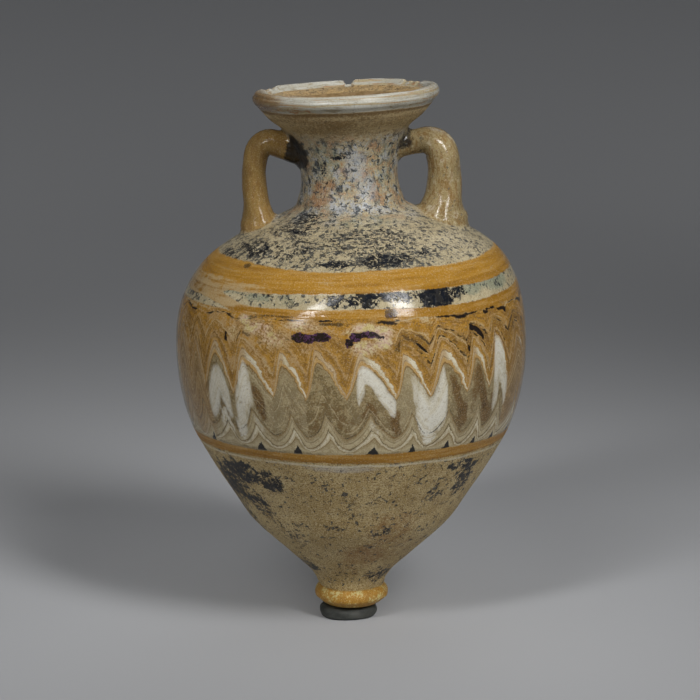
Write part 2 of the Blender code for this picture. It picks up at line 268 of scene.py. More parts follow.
def bodyMesh():
    inner, outer = innerSide(), outerSide()
    outline = np.vstack([inner, outer])
    isOuter = np.r_[np.zeros(len(inner)), np.ones(len(outer))]
    around = glass["around"]
    angle = np.arange(around) * 2 * math.pi / around
    degrees = np.degrees(angle)
    points, faces = [np.array([[0, 0, outline[0][1]]])], []
    for (radius, height), out in zip(outline[1:-1], isOuter[1:-1]):
        r, z = np.full(around, radius), np.full(around, height)
        nearRim = ease(neckTop + 2, rimTop - glass["rimEdge"], height)
        if out:
            bearing = (degrees + 90 + 180) % 360 - 180
            stroke = strokeAt(bearing, z)
            band = ease(38.5, 42, height) * ease(64, 60, height)
            share = np.abs(stroke - np.round(stroke)) * 2
            r = r + handWaves(angle, height) - wear["inward"]
            r = r - wear["peakDent"] * band * (share < 0.16) * (1 - share / 0.16)
            r = r - wear["valleyDent"] * band * (share > 0.9) * (share - 0.9) / 0.1
            r = r + ease(7.5, 6.5, height) * 0.15 * np.sin(3 * angle + 1) * ease(2.7, 4, height)
        z = z + nearRim * (ripple(angle, wear["rimUp"]) * 0.7 - 0.12)
        r = r + nearRim * (ripple(angle, wear["rimOut"]) - 0.1)
        if out and height > neckTop:
            coil = rimTop - 0.75 - 0.25 * np.sin(angle + 2.4)
            dent = wear["coil"] * np.exp(-((height - coil) / wear["coilHalf"]) ** 2)
            r = r - dent * (0.6 - 0.4 * np.cos(angle + 0.4))
        z = z - crestDrop(degrees) * ease(rimTop - 1.3, rimTop - 0.25, height)
        points.append(np.column_stack([r * np.cos(angle), r * np.sin(angle), z]))
    points.append(np.array([[0, 0, outline[-1][1]]]))
    rings = len(outline) - 2
    for j in range(around):
        faces.append((0, 1 + (j + 1) % around, 1 + j))
    for i in range(rings - 1):
        a = 1 + i * around
        for j in range(around):
            k = (j + 1) % around
            faces.append((a + j, a + k, a + around + k, a + around + j))
    last = 1 + (rings - 1) * around
    for j in range(around):
        faces.append((last + j, last + (j + 1) % around, last + around))
    return meshObject("flask_glass", np.vstack(points), faces)


# the two handles: canes drawn from the neck down to the shoulder

handles = {
    "top": 11.3, "embed": 1.6, "flatness": 1.25, "gap": 0.55, "sides": 40,
    "neckSwell": 3.0, "footSwell": 3.4,                     # how far along the cane the pressed ends reach
    "melt": 1.1, "meltPasses": 24, "meltPull": 0.6,         # the softened seam: its reach, and how it is smoothed
    "left": {"side": -1, "reach": 17.9, "foot": 17.7, "rise": 1.1, "neck": 5.2, "middle": 4.6, "end": 6.4,
             "pressed": 0.55, "spread": 0.5},                # how much each end swells where it was pressed on
    "right": {"side": 1, "reach": 17.9, "foot": 17.4, "rise": 0.1, "neck": 4.6, "middle": 6.3, "end": 9.2,
              "pressed": 0.4, "spread": 0.6},
}


def shoulderAt(radius):
    outline = smoothCurve(bodyStations(), 0.3)
    outline = outline[outline[:, 1] > bodyBase + 0.63 * glass["bodyTall"]]
    i = int(np.argmin(np.abs(outline[:, 0] - radius)))
    along = outline[i + 1] - outline[i - 1]
    along /= np.linalg.norm(along)
    return outline[i][1], (-along[1], along[0])


def canePath(cane):
    # (distance, height, half thickness) along the middle of the cane
    start = neckRoot + handles["top"]
    landing, inward = shoulderAt(cane["foot"])
    drop = start - landing
    neckSide = float(neckRadius(start))
    out = cane["reach"] - neckSide
    a, b, c = cane["neck"] / 2, cane["middle"] / 2, cane["end"] / 2
    path = smoothCurve([
        (neckSide - handles["embed"], start, a),
        (neckSide + 0.30 * out, start + 0.6 * cane["rise"], a),
        (neckSide + 0.62 * out, start + cane["rise"], 0.6 * a + 0.4 * b),
        (neckSide + 0.87 * out, start + 0.8 * cane["rise"] - 0.08 * drop, 0.2 * a + 0.8 * b),
        (neckSide + 0.99 * out, start - 0.24 * drop, b),
        (cane["reach"], start - 0.44 * drop, b),
        (0.5 * (cane["reach"] + cane["foot"]), start - 0.68 * drop, 0.8 * b + 0.2 * c),
        (cane["foot"], landing + 0.12 * drop, 0.35 * b + 0.65 * c),
        (cane["foot"], landing, c),
        (cane["foot"] + inward[0] * handles["embed"], landing + inward[1] * handles["embed"], c),
    ], handles["gap"])
    along = np.r_[0, np.cumsum(np.hypot(np.diff(path[:, 0]), np.diff(path[:, 1])))]
    atNeck = np.exp(-(along / handles["neckSwell"]) ** 2)
    atFoot = np.exp(-((along[-1] - along) / handles["footSwell"]) ** 2)
    path[:, 1] -= 0.8 * cane["pressed"] * atNeck
    path[:, 0] -= 0.8 * cane["spread"] * atFoot
    path[:, 2] += cane["pressed"] * atNeck + cane["spread"] * atFoot
    return path


def caneMesh(name, cane):
    path = canePath(cane)
    sides = handles["sides"]
    turn = np.arange(sides) * 2 * math.pi / sides
    along = np.gradient(path[:, :2], axis=0)
    along /= np.linalg.norm(along, axis=1)[:, None]
    points, faces = [], []
    for i, ((x, z, half), (dx, dz)) in enumerate(zip(path, along)):
        lump = 1 + 0.02 * np.sin(0.9 * i * handles["gap"] + 2 * turn) + 0.015 * np.sin(3 * turn + 0.5 * i)
        across, deep = half * lump * np.cos(turn), half * handles["flatness"] * lump * np.sin(turn)
        points.append(np.column_stack([cane["side"] * (x - dz * across), deep, z + dx * across]))
    points = np.vstack(points)
    for i in range(len(path) - 1):
        for j in range(sides):
            k = (j + 1) % sides
            faces.append((i * sides + j, i * sides + k, (i + 1) * sides + k, (i + 1) * sides + j))
    faces.append(tuple(reversed(range(sides))))
    faces.append(tuple((len(path) - 1) * sides + j for j in range(sides)))
    obj = meshObject(name, points, faces)
    edit = bmesh.new()
    edit.from_mesh(obj.data)
    bmesh.ops.recalc_face_normals(edit, faces=edit.faces)
    edit.to_mesh(obj.data)
    edit.free()
    return obj


def nearestOnCane(points, cane):
    # for each point: distance to the cane's skin and how far along the cane it lies, 0 at the neck
    path = canePath(cane)
    line = np.column_stack([cane["side"] * path[:, 0], np.zeros(len(path)), path[:, 1]])
    best, share = np.full(len(points), 1e9), np.zeros(len(points))
    for i, (middle, half) in enumerate(zip(line, path[:, 2])):
        off = points - middle
        off[:, 1] = off[:, 1] / handles["flatness"]
        distance = np.linalg.norm(off, axis=1) - half
        closer = distance < best
        best[closer], share[closer] = distance[closer], i / len(line)
    return best, share


def bodySkin(points):
    # signed distance of each point outside the body's outer side, measured level
    outline = outerSide()
    order = np.argsort(outline[edgeRows:-12, 1])
    radii = np.interp(points[:, 2], outline[edgeRows:-12, 1][order], outline[edgeRows:-12, 0][order])
    return np.hypot(points[:, 0], points[:, 1]) - radii


def fuse(body, canes):
    # joins the canes to the body and melts the seams a little
    for cane in canes:
        step = body.modifiers.new(cane.name, "BOOLEAN")
        step.operation = "UNION"
        step.solver = "EXACT"
        step.object = cane
    graph = bpy.context.evaluated_depsgraph_get()
    mesh = bpy.data.meshes.new_from_object(body.evaluated_get(graph))
    body.modifiers.clear()
    body.data = mesh
    for cane in canes:
        bpy.data.objects.remove(cane)
    points = np.empty(len(mesh.vertices) * 3)
    mesh.vertices.foreach_get("co", points)
    points = points.reshape(-1, 3)
    edges = np.empty(len(mesh.edges) * 2, int)
    mesh.edges.foreach_get("vertices", edges)
    edges = edges.reshape(-1, 2)
    nearCane = np.minimum(nearestOnCane(points, handles["left"])[0], nearestOnCane(points, handles["right"])[0])
    melt = np.exp(-(nearCane / handles["melt"]) ** 2 - (bodySkin(points) / handles["melt"]) ** 2)
    melt[melt < 0.02] = 0
    count = np.bincount(edges.ravel(), minlength=len(points))
    for _ in range(handles["meltPasses"]):
        total = np.zeros_like(points)
        np.add.at(total, edges[:, 0], points[edges[:, 1]])
        np.add.at(total, edges[:, 1], points[edges[:, 0]])
        middle = total / np.maximum(count, 1)[:, None]
        points = points + handles["meltPull"] * melt[:, None] * (middle - points)
    mesh.vertices.foreach_set("co", points.ravel())
    mesh.update()
    return points


def leaned(points):
    # where the lean puts each point of the upright flask
    g = glass
    start = neckRoot - g["leanBelowNeck"]
    share = np.clip((points[:, 2] - start) / g["leanLength"], 0, 1)
    eased = share * share * (3 - 2 * share)
    curved = g["leanLength"] * (share ** 3 - share ** 4 / 2)
    risen = np.maximum(0, points[:, 2] - start - g["leanLength"])
    aside = math.tan(g["lean"]) * (curved + risen) - g["neckShift"] * eased
    towards = np.array([math.cos(g["leanBearing"]), math.sin(g["leanBearing"]), 0])
    off = points[:, :2] @ towards[:2]
    angle = g["lean"] * eased
    made = points.copy()
    made += ((np.cos(angle) - 1) * off + aside)[:, None] * towards
    made[:, 2] -= np.sin(angle) * off
    return made


# where the surface differs: soft-edged patches, each being
# (degrees right of the front, height, half width, half height, strength)

patches = {
    "dark": [
        (-5, 66.9, 6, 1.5, 0.5), (4, 67, 7, 1.6, 0.72), (13, 67.6, 8, 1.1, 0.8), (21, 67.2, 4, 1.6, 0.35),
        (29, 66.9, 7.5, 2.8, 0.84), (38, 67.4, 5, 1.6, 0.6), (-72, 66.5, 10, 2.5, 0.5), (-6, 72.9, 9, 0.7, 0.75),
        (14, 73.1, 13, 1.3, 0.8), (32, 73.6, 9, 1, 0.55), (-52, 74.5, 14, 1.6, 0.55), (-66, 72.5, 12, 3, 0.5),
        (-30, 67.2, 15, 1.2, 0.26), (-25, 75, 22, 2, 0.42), (8, 76, 30, 2.4, 0.4), (-40, 78.5, 20, 2, 0.6),
        (-12, 90.2, 11, 0.55, 0.8), (-34, 88.5, 10, 2.2, 0.45), (-22, 85.4, 9, 0.6, 0.5),
        (-48, 32.8, 15, 2.6, 0.84), (-60, 29.5, 13, 5, 0.7), (-34, 31.6, 8, 2.6, 0.72), (-70, 24, 14, 5, 0.5),
        (-48, 26, 9, 3, 0.62), (-36, 21, 9, 2.4, 0.36), (46, 34.5, 12, 1.2, 0.6), (53, 31.5, 6, 4.2, 0.74),
        (28, 33.5, 8, 1.2, 0.34), (38, 29.5, 6, 2.4, 0.42), (17, 21.5, 7, 1.2, 0.45), (-6, 23, 5, 1.4, 0.36),
        (-55, 11.5, 22, 1.6, 0.62), (46, 9.6, 22, 1.5, 0.66), (-14, 10, 12, 1.2, 0.35), (120, 30, 26, 6, 0.55),
        (170, 26, 22, 7, 0.4), (-130, 68, 20, 2, 0.6), (150, 74, 24, 3, 0.5), (-150, 33, 18, 4, 0.6),
        (100, 67, 16, 1.6, 0.6), (-165, 77, 30, 3, 0.45),
    ],
    "stain": [
        (10, 15.5, 22, 3.5, 0.75), (22, 22, 16, 5, 0.6), (-5, 12, 20, 3, 0.45), (36, 17, 12, 4, 0.45),
        (-30, 85, 18, 1.6, 0.62), (-36, 82.6, 20, 2, 0.6), (-8, 87.6, 18, 1.4, 0.45), (0, 82.4, 18, 1.2, 0.4),
        (140, 20, 25, 5, 0.5), (-120, 20, 25, 6, 0.45), (150, 86, 40, 2, 0.6), (-30, 70.8, 9, 0.4, 0.4),
    ],
    "violet": [
        (-16.5, 60.3, 3, 1.1, 1), (-13.5, 60.2, 2.6, 1, 0.95), (-9.5, 60.5, 3.6, 1.1, 0.85),
        (-0.8, 59.5, 1.6, 0.9, 1), (1.4, 60.6, 2.4, 0.9, 1), (5.2, 61.1, 3.2, 0.7, 0.95), (9, 60.5, 2, 0.7, 0.7),
        (12.6, 64.3, 2.2, 0.7, 0.55), (128, 60, 7, 0.8, 0.9), (-112, 60.5, 6, 0.8, 0.9),
    ],
    "pearl": [
        (9, 61.2, 5, 1.4, 1), (4, 62.2, 4.4, 0.9, 1), (10, 59.4, 3.4, 1.3, 1), (4, 58.6, 5, 1.8, 0.8),
        (0.5, 61.6, 3, 0.8, 0.7), (-31, 61.6, 7, 1.6, 0.8), (-25, 59.8, 6, 1.6, 0.7), (-16, 62.4, 7, 1, 0.7),
        (-37, 63, 2.4, 1.1, 1), (-41, 60.5, 3, 2, 0.5), (26, 63, 4, 1, 0.5), (130, 60, 9, 1.6, 0.8),
        (-110, 61, 9, 1.6, 0.7),
    ],
    # dark smears of grime; the thin ones on the lower yellow thread left of the front paint a shadow line along it
    "smudge": [
        (12.8, 64.5, 2.6, 1, 0.9), (-6.5, 62.9, 4.4, 0.45, 0.9), (-26, 64.2, 9, 0.35, 0.62),
        (-47, 72.2, 2.4, 0.4, 1), (-34, 63.6, 5, 0.5, 0.5), (14.5, 58.6, 1.2, 1.6, 0.6), (140, 63, 6, 0.6, 0.7),
    ],
    "teal": [
        (-34, 67, 7, 0.8, 0.8), (-28, 67.2, 18, 1.8, 0.5), (-50, 68.2, 12, 1.2, 0.8), (46, 67.4, 9, 1.6, 0.8),
        (60, 67.6, 12, 2, 0.9), (-24, 90, 20, 4, 0.6), (-30, 88, 20, 4, 0.5), (45, 88, 20, 6, 0.5),
        (12, 78.6, 30, 1.4, 0.5), (110, 67.5, 20, 1.6, 0.8), (-110, 89, 40, 5, 0.6), (160, 88, 40, 5, 0.6),
    ],
    # frosted weathering; the patches on the front and right of the neck also paint the soft bluish sheen of a soft
    # box
    "frost": [
        (8, 88.5, 16, 3.6, 0.8), (20, 84.5, 16, 3, 0.7), (0, 80.5, 18, 1.4, 0.5), (14, 78.8, 12, 0.8, 0.4),
        (-3, 35.6, 16, 0.9, 0.7), (-140, 86, 24, 4, 0.6),
    ],
}

# the same along the threads: (stroke, level, half width, half height, strength), with the strokes counted
# from the leftmost peak in front
fills = {
    "white": [
        (0.8, 50.8, 0.22, 3.6, 0.95), (1.16, 50.8, 0.22, 3.6, 0.95), (1.03, 44.9, 0.22, 1.6, 0.95),
        (1.72, 51, 0.22, 4.6, 0.97), (1.94, 51.2, 0.16, 4.4, 0.97), (1.6, 46.8, 0.16, 2.8, 0.9),
        (2.1, 45, 0.16, 1.6, 0.6), (4.86, 53.2, 0.13, 2.6, 0.95), (5.07, 53.9, 0.14, 1.7, 1),
        (5.24, 53.3, 0.14, 2, 1), (5.4, 53, 0.1, 2.2, 0.95), (6.18, 51.6, 0.13, 3.4, 0.75),
        (6.34, 50.6, 0.16, 4.6, 1), (6.52, 49.6, 0.16, 5.4, 1), (6.7, 50.4, 0.16, 4.8, 1), (6.86, 51, 0.14, 4.4, 1),
        (6.3, 47.8, 0.2, 2.4, 1), (6.74, 47.6, 0.22, 2.4, 1), (6.52, 45.9, 0.2, 1.8, 1), (8.92, 55, 0.2, 4.6, 1),
        (9.14, 56.6, 0.18, 2.6, 1), (9.16, 52.4, 0.18, 2.4, 1), (9.36, 53, 0.16, 3.6, 0.9),
        (8.84, 50.4, 0.14, 3.4, 0.8), (4.08, 45, 0.12, 1.2, 0.5), (5.05, 44.6, 0.12, 1.2, 0.6),
        (12.9, 50.6, 0.3, 4.4, 1), (14.6, 50, 0.3, 5, 1), (17.1, 51.4, 0.3, 3.8, 1), (19.6, 50, 0.34, 5, 1),
        (22.1, 51.4, 0.24, 3.9, 1), (24.5, 50.4, 0.3, 4.6, 1),
    ],
    "brown": [
        (2.22, 50.4, 0.13, 2.6, 0.9), (2.3, 46.6, 0.16, 2, 0.5), (3, 52.6, 0.12, 2, 0.35),
        (3.1, 48.2, 0.3, 2.4, 0.45), (3.75, 47.6, 0.3, 2.2, 0.45), (4.4, 50, 0.24, 2.6, 0.5),
        (4.62, 47.4, 0.2, 2, 0.45), (4.98, 47.9, 0.2, 1.4, 0.75), (5.5, 50, 0.13, 2.6, 0.95),
        (5.56, 47.2, 0.1, 1.6, 0.8), (5.22, 46.8, 0.12, 1.2, 0.5), (7.22, 52.2, 0.16, 2.2, 0.8),
        (7.42, 50, 0.2, 3.2, 0.85), (7.3, 47.4, 0.2, 2, 0.6), (7.82, 51.2, 0.16, 3, 0.6),
        (8.1, 51.6, 0.16, 3.4, 0.8), (8.36, 50.4, 0.2, 3.4, 0.95), (8.62, 49.6, 0.14, 3.4, 0.7),
        (8.3, 47.2, 0.2, 1.6, 0.6), (9.66, 50, 0.2, 4, 0.5), (11.4, 50, 0.5, 3, 0.7), (13.7, 49, 0.5, 3, 0.8),
        (16.2, 50, 0.4, 4, 0.6), (18.4, 49, 0.5, 3, 0.8), (20.9, 50, 0.5, 4, 0.7), (23.3, 49, 0.5, 3, 0.8),
        (26, 50, 0.5, 4, 0.5),
    ],
    "black": [
        (7.92, 60.7, 0.4, 0.34, 1), (8.12, 60.9, 0.2, 0.5, 1), (8.02, 58.75, 0.14, 0.2, 1),
        (6.34, 60.9, 0.12, 0.22, 0.9), (0.78, 62.8, 0.05, 1, 1), (1.32, 61.2, 0.04, 0.6, 0.9),
        (2.7, 63.7, 0.3, 0.18, 0.66), (3.3, 63.6, 0.25, 0.16, 0.6), (4.2, 63.6, 0.14, 0.2, 0.7),
        (7.3, 63.5, 0.4, 0.13, 0.9), (8, 63.7, 0.16, 0.18, 1), (8.6, 63.6, 0.3, 0.16, 1),
        (9.25, 63.4, 0.3, 0.18, 1), (9, 61.6, 0.16, 0.14, 0.9), (12.2, 61, 0.4, 0.3, 1), (14.9, 60.8, 0.4, 0.3, 1),
        (17.8, 61.2, 0.35, 0.3, 1), (20.2, 60.8, 0.4, 0.3, 1), (24, 61, 0.4, 0.3, 1), (16.2, 63.6, 0.6, 0.24, 0.9),
        (19, 63.6, 0.6, 0.24, 0.9), (22.6, 63.6, 0.5, 0.24, 0.9),
    ],
    "tan": [
        (0, 50, 0.62, 9, 0.9), (27.4, 50, 0.9, 9, 0.9), (1.46, 55, 0.12, 2, 0.4), (9.62, 52, 0.26, 7, 0.9),
        (10.2, 51, 0.5, 7, 0.8), (7.86, 54, 0.16, 2, 0.6), (15.4, 51, 0.5, 6, 0.7), (21.5, 51, 0.4, 6, 0.6),
    ],
}


def softPatch(across, up, strength):
    return strength * ease(1.3, 0.5, np.hypot(across, up))


def patchField(kind, bearing, height):
    field = np.zeros(len(height))
    for centre, middle, halfWide, halfTall, strength in patches[kind]:
        across = ((bearing - centre + 180) % 360 - 180) / halfWide
        field = np.maximum(field, softPatch(across, (height - middle) / halfTall, strength))
    return field


def fillField(kind, stroke, level):
    field = np.zeros(len(level))
    count = combing["strokes"]
    for centre, middle, halfWide, halfTall, strength in fills[kind]:
        across = ((stroke - centre + count / 2) % count - count / 2) / halfWide
        # boxier than an ellipse, so that a fill reaches into the corners of its cell
        off = (np.abs(across) ** 3 + np.abs((level - middle) / halfTall) ** 3) ** (1 / 3)
        field = np.maximum(field, strength * ease(1.35, 0.65, off))
    return field


# the yellow threads that run round: middle height and half width in mm

threads = {
    "upper": (69.95, 1.8), "lower": (64.65, 0.8), "foot": (37.65, 0.9),
    "merge": (-34, -64, 2.6),           # to the left the lower thread climbs into the upper one
}


def yellowField(bearing, height):
    # mm inside the nearest yellow thread, negative outside
    far = np.where(bearing > 120, bearing - 360, bearing)
    start, end, climb = threads["merge"]
    merging = ease(start, end, far)
    widen = ease(-5, -60, far)
    middle, half = threads["upper"]
    dip = 0.3 * ease(15, 45, far) * ease(75, 50, far)
    upper = half + 0.75 * widen - np.abs(height - middle - 0.35 * widen + dip)
    middle, half = threads["lower"]
    sag = 0.35 * ease(10, 30, far) * ease(60, 45, far)
    lower = half + 0.5 * merging - np.abs(height - middle + sag - climb * merging - 0.5 * ease(60, 85, far))
    middle, half = threads["foot"]
    wave = 0.15 * np.sin(np.radians(bearing + 20))
    foot = half + 0.12 * np.sin(np.radians(bearing * 3)) - np.abs(height - middle - wave)
    return np.maximum(np.maximum(upper, lower), foot)


def paintFields(obj, points):
    # stores what the finish needs to know at each point of the upright flask
    mesh = obj.data
    bearing = np.degrees(np.arctan2(points[:, 0], -points[:, 1]))
    height = points[:, 2]
    leftSkin, leftShare = nearestOnCane(points, handles["left"])
    rightSkin, rightShare = nearestOnCane(points, handles["right"])
    proud = bodySkin(points)
    caneSkin, share = np.minimum(leftSkin, rightSkin), np.where(leftSkin < rightSkin, leftShare, rightShare)
    cane = ease(0.45, 0.05, caneSkin) * ease(-0.2, 0.5, proud)
    deepInside = ease(-1.2, -2.2, proud) * (height < rimTop - 2.2) * (height > 12)
    # darker where each cane meets the neck and, fainter, where its foot lands on the shoulder
    leftJoin = ease(2.8, 0.8, leftSkin) * ease(0.13, 0.07, leftShare) * ease(86.6, 88.6, height)
    rightJoin = 0.66 * ease(1.6, 0.1, rightSkin) * ease(0.24, 0.10, rightShare) * ease(89.6, 91.0, height)
    landed = 0.35 * ease(0.7, 0.0, caneSkin) * ease(0.6, 0.1, proud) * (share > 0.7)
    fields = {
        "cane": cane, "join": np.maximum(np.maximum(leftJoin, rightJoin), landed), "inside": deepInside,
        "yellow": yellowField(bearing, height),
    }
    stroke = strokeAt(bearing, height)
    level = levelAt(stroke, height)
    for kind in patches:
        fields[kind] = patchField(kind, bearing, height)
    for kind in fills:
        fields[kind] = fillField(kind, stroke, level)
    for name, values in fields.items():
        layer = mesh.attributes.new(name, "FLOAT", "POINT")
        layer.data.foreach_set("value", np.ascontiguousarray(values, dtype=np.float32))
    # skin: as upright, but the height is the way up along the wall, so that marks lie along the shoulder
    outline = outerSide()[edgeRows:-1][::-1]
    along = np.r_[0, np.cumsum(np.linalg.norm(np.diff(outline, axis=0), axis=1))]
    up = np.interp(height, outline[:, 1], along)
    skin = np.column_stack([points[:, 0], points[:, 1], up])
    for name, values in {"upright": points, "skin": skin}.items():
        layer = mesh.attributes.new(name, "FLOAT_VECTOR", "POINT")
        layer.data.foreach_set("vector", values.astype(np.float32).ravel())
    corners = np.empty(len(mesh.loops), int)
    mesh.loops.foreach_get("vertex_index", corners)
    starts = np.empty(len(mesh.polygons), int)
    mesh.polygons.foreach_get("loop_start", starts)
    stroke = stroke[corners]
    face = np.repeat(np.arange(len(starts)), np.diff(np.r_[starts, len(corners)]))
    highest = np.full(len(starts), -1e9)
    np.maximum.at(highest, face, stroke)
    stroke = stroke + combing["strokes"] * (highest[face] - stroke > combing["strokes"] / 2)
    layer = mesh.attributes.new("stroke", "FLOAT", "CORNER")
    layer.data.foreach_set("value", stroke.astype(np.float32))


# node material writing

class Value:
    # a number that varies over the surface; sums and products on it add Math nodes
    def __init__(self, finish, socket):
        self.finish, self.socket = finish, socket

    def maths(self, operation, *others):
        node = self.finish.node("ShaderNodeMath", {"operation": operation}, self, *others)
        return Value(self.finish, node.outputs[0])

    def __add__(self, other):
        return self.maths("ADD", other)

    __radd__ = __add__

    def __mul__(self, other):
        return self.maths("MULTIPLY", other)

    __rmul__ = __mul__

    def __sub__(self, other):
        return self.maths("SUBTRACT", other)

    def __rsub__(self, other):
        return self.finish.number("SUBTRACT", other, self)

    def __truediv__(self, other):
        return self.maths("DIVIDE", other)

    def __rtruediv__(self, other):
        return self.finish.number("DIVIDE", other, self)

    def __pow__(self, other):
        return self.maths("POWER", other)

    def atLeast(self, other):
        return self.maths("MAXIMUM", other)

    def atMost(self, other):
        return self.maths("MINIMUM", other)

    def size(self):
        return self.maths("ABSOLUTE")

    def clamped(self):
        return self.atLeast(0).atMost(1)

    def rise(self, low, high):
        # 0 at low, 1 at high, smooth between; low may be the larger
        node = self.finish.node("ShaderNodeMapRange", {"interpolation_type": "SMOOTHSTEP"}, self, low, high, 0, 1)
        return Value(self.finish, node.outputs[0])

    def near(self, middle, edge, core):
        # 1 within core of the middle, 0 beyond the edge
        return (self - middle).size().rise(edge, core)

    def between(self, edges):
        # edges: where it comes in and, if there is a second pair, where it goes out again
        first, *others = (self.rise(*edge) for edge in edges)
        for other in others:
            first = first * other
        return first


class Finish:
    # one material and the nodes in it
    def __init__(self, name):
        self.material = bpy.data.materials.new(name)
        self.material.use_nodes = True
        self.tree = self.material.node_tree
        self.shader = self.tree.nodes["Principled BSDF"]

    def node(self, kind, settings, *values, **named):
        made = self.tree.nodes.new(kind)
        for key, value in settings.items():
            if key == "stops":
                for i, (place, colour) in enumerate(value):
                    stop = made.color_ramp.elements[i] if i < 2 else made.color_ramp.elements.new(place)
                    stop.position = place
                    stop.color = (*inks[colour], 1)
            else:
                setattr(made, key, value)
        for socket, value in list(zip(made.inputs, values)) + [(made.inputs[key], v) for key, v in named.items()]:
            self.feed(socket, value)
        return made

    def feed(self, socket, value):
        # value: a number, a vector, a colour or its name in inks, or something that varies
        if isinstance(value, str):
            value = inks[value]
        if isinstance(value, Value):
            self.tree.links.new(value.socket, socket)
        elif isinstance(value, bpy.types.NodeSocket):
            self.tree.links.new(value, socket)
        elif isinstance(value, tuple) and socket.type == "RGBA":
            socket.default_value = (*value, 1)
        else:
            socket.default_value = value

    def number(self, operation, *values):
        return Value(self, self.node("ShaderNodeMath", {"operation": operation}, *values).outputs[0])

    def field(self, name):
        return Value(self, self.node("ShaderNodeAttribute", {"attribute_name": name}).outputs["Fac"])

    def place(self, name):
        return self.node("ShaderNodeAttribute", {"attribute_name": name}).outputs["Vector"]

    def scaled(self, vector, stretch):
        return self.node("ShaderNodeVectorMath", {"operation": "MULTIPLY"}, vector, stretch).outputs[0]

    def moved(self, vector, offset):
        return self.node("ShaderNodeVectorMath", {"operation": "ADD"}, vector, offset).outputs[0]

    def noise(self, vector, scale, detail=3.0, roughness=0.55, twist=0.0):
        made = self.node("ShaderNodeTexNoise", {}, Vector=vector, Scale=scale, Detail=detail, Roughness=roughness,
                         Distortion=twist)
        return Value(self, made.outputs["Fac"])

    def cracks(self, vector, scale):
        made = self.node("ShaderNodeTexVoronoi", {"feature": "F1"}, Vector=vector, Scale=scale)
        return Value(self, made.outputs["Distance"])

    def mix(self, share, first, second):
        made = self.node("ShaderNodeMix", {"data_type": "RGBA"}, Factor=share)
        self.feed(made.inputs[6], first)
        self.feed(made.inputs[7], second)
        return made.outputs[2]

    def layered(self, colour, coats):
        # lays the colours over each other, each coat being (share, colour)
        for share, tone in coats:
            colour = self.mix(share, colour, tone)
        return colour

    def ramp(self, share, stops):
        return self.node("ShaderNodeValToRGB", {"stops": stops}, share).outputs[0]

    def bump(self, height, distance, strength=1.0):
        made = self.node("ShaderNodeBump", {}, Strength=strength, Distance=distance, Height=height)
        self.tree.links.new(made.outputs[0], self.shader.inputs["Normal"])


# colours of the glass as seen on it

inks = {name: ink(*seen) for name, seen in {
    "ochre": (171, 126, 44), "ochreDeep": (143, 101, 30), "olive": (138, 102, 40), "smearAndShadow": (70, 54, 30),
    "ochrePale": (178, 144, 90), "umber": (116, 86, 46), "beige": (168, 155, 122), "beigeDark": (128, 114, 84),
    "sand": (186, 172, 138), "fill": (148, 132, 96), "fillDark": (112, 96, 64), "cream": (210, 202, 178),
    "white": (222, 221, 212), "night": (20, 25, 34), "blueBlack": (16, 19, 25), "slate": (56, 66, 72),
    "teal": (112, 128, 112), "brown": (112, 88, 52), "brownDark": (78, 58, 32), "rust": (160, 112, 68),
    "tan": (166, 132, 80), "tanDark": (128, 96, 52), "pink": (204, 176, 164), "violet": (76, 46, 80),
    "lemon": (196, 182, 122), "core": (146, 120, 84), "frost": (168, 172, 176), "caneLeft": (142, 115, 66),
    "caneRight": (154, 137, 98), "grey": (138, 134, 122), "russet": (140, 102, 54), "gold": (176, 133, 56),
    "earth": (174, 150, 99), "earthPale": (193, 171, 122), "earthDark": (130, 105, 60),
    "blush": (174, 146, 104), "ring": (178, 176, 164), "under": (202, 180, 136), "underDark": (154, 128, 84),
}.items()}
paint = {
    "threadLines": 2.4, "wander": 0.14, "bump": 0.00018, "specular": 0.3,
    # heights between which each zone comes in and, for most, goes out again
    "zones": {
        "combed": [(38.2, 38.5), (64.6, 64.2)], "upper": [(66.0, 74.0), (96.5, 93.0)],
        "neck": [(77.0, 81.0), (96.5, 93.0)], "low": [(50.0, 45.0)], "shoulder": [(70.5, 71.5)],
        "glossy": [(37.0, 40.0), (73.0, 70.0)], "knob": [(6.6, 6.3)], "funnel": [(96.5, 98.0)],
    },
}


